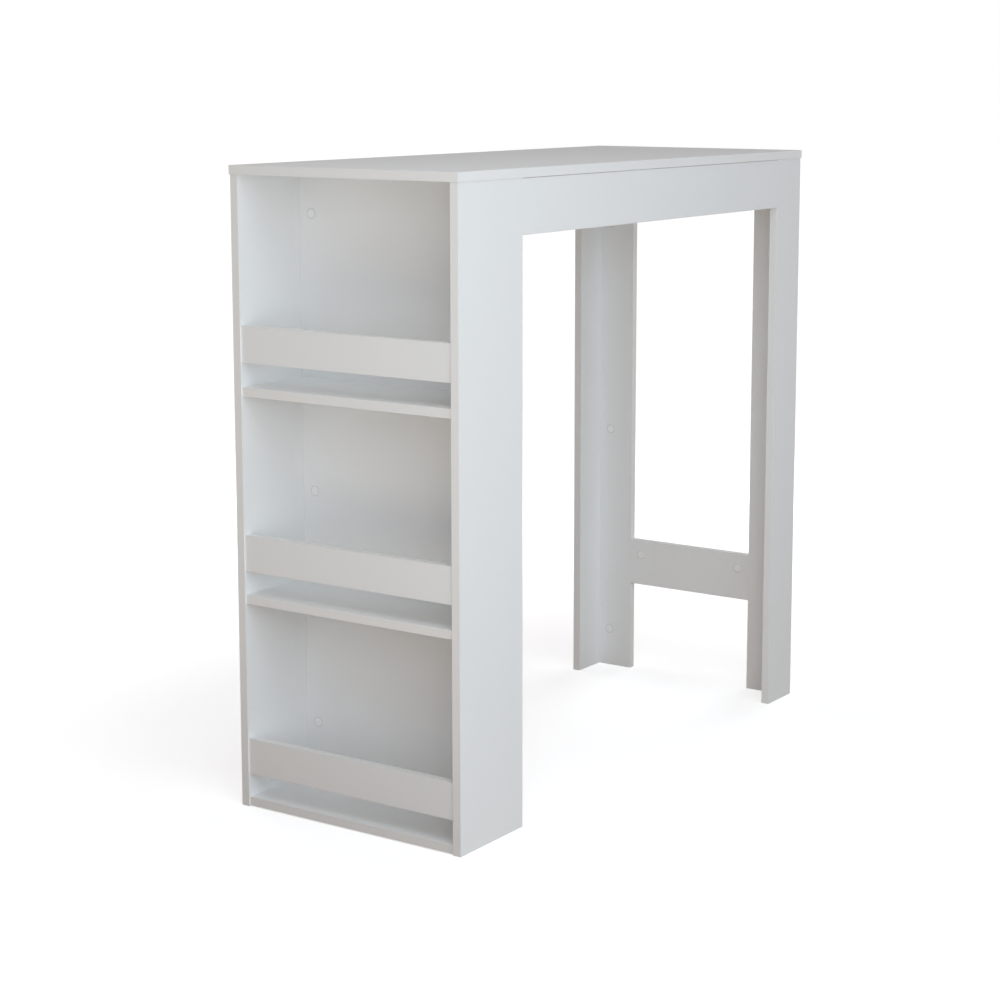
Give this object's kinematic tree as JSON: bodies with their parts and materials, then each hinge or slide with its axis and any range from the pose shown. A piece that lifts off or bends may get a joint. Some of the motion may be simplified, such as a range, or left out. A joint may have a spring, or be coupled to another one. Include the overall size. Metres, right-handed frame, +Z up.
{
  "type": "bar table",
  "caption": "White bar table of straight boards, with an open shelf unit with guard rails at one end and L-section legs with a cross rail at the other.",
  "frame": {"origin": "on the floor, under the middle of the tabletop", "axes": "+X along the top towards the legs, with the shelf unit at -X; +Y across the top; +Z up"},
  "size_m": [1.103, 0.446, 1.05],
  "materials": {
    "white_board": "white melamine-faced chipboard, satin, with matching edge band",
    "cam_zinc": "die-cast zinc",
    "bolt_steel": "zinc-plated steel",
    "cap_plastic": "white moulded plastic",
    "dowel_beech": "raw beech"
  },
  "bodies": {
    "root": {"tabletop": "white_board", "back_panel": "white_board", "cross_rail": "white_board", "bottom_shelf": "white_board", "middle_shelf": "white_board", "upper_shelf": "white_board", "lower_guard_rail": "white_board", "middle_guard_rail": "white_board", "upper_guard_rail": "white_board", "front_side_panel": "white_board", "front_apron": "white_board", "front_leg_side_board": "white_board", "front_leg_end_board": "white_board", "rear_side_panel": "white_board", "rear_apron": "white_board", "rear_leg_side_board": "white_board", "rear_leg_end_board": "white_board", "back_panel_cam_locks": "cam_zinc", "back_panel_cam_bolts": "bolt_steel", "back_panel_cover_caps": "cap_plastic", "back_panel_dowels": "dowel_beech", "shelf_cam_locks": "cam_zinc", "shelf_cam_bolts": "bolt_steel", "shelf_cover_caps": "cap_plastic", "shelf_dowels": "dowel_beech", "guard_rail_cam_locks": "cam_zinc", "guard_rail_cam_bolts": "bolt_steel", "guard_rail_cover_caps": "cap_plastic", "guard_rail_dowels": "dowel_beech", "apron_cam_locks": "cam_zinc", "apron_cam_bolts": "bolt_steel", "apron_cover_caps": "cap_plastic", "apron_dowels": "dowel_beech", "leg_cam_locks": "cam_zinc", "leg_cam_bolts": "bolt_steel", "leg_cover_caps": "cap_plastic", "leg_dowels": "dowel_beech", "cross_rail_cam_locks": "cam_zinc", "cross_rail_cam_bolts": "bolt_steel", "cross_rail_cover_caps": "cap_plastic", "cross_rail_dowels": "dowel_beech", "tabletop_cam_locks": "cam_zinc", "tabletop_cam_bolts": "bolt_steel", "tabletop_cover_caps": "cap_plastic", "tabletop_dowels": "dowel_beech"}
  },
  "joints": []
}
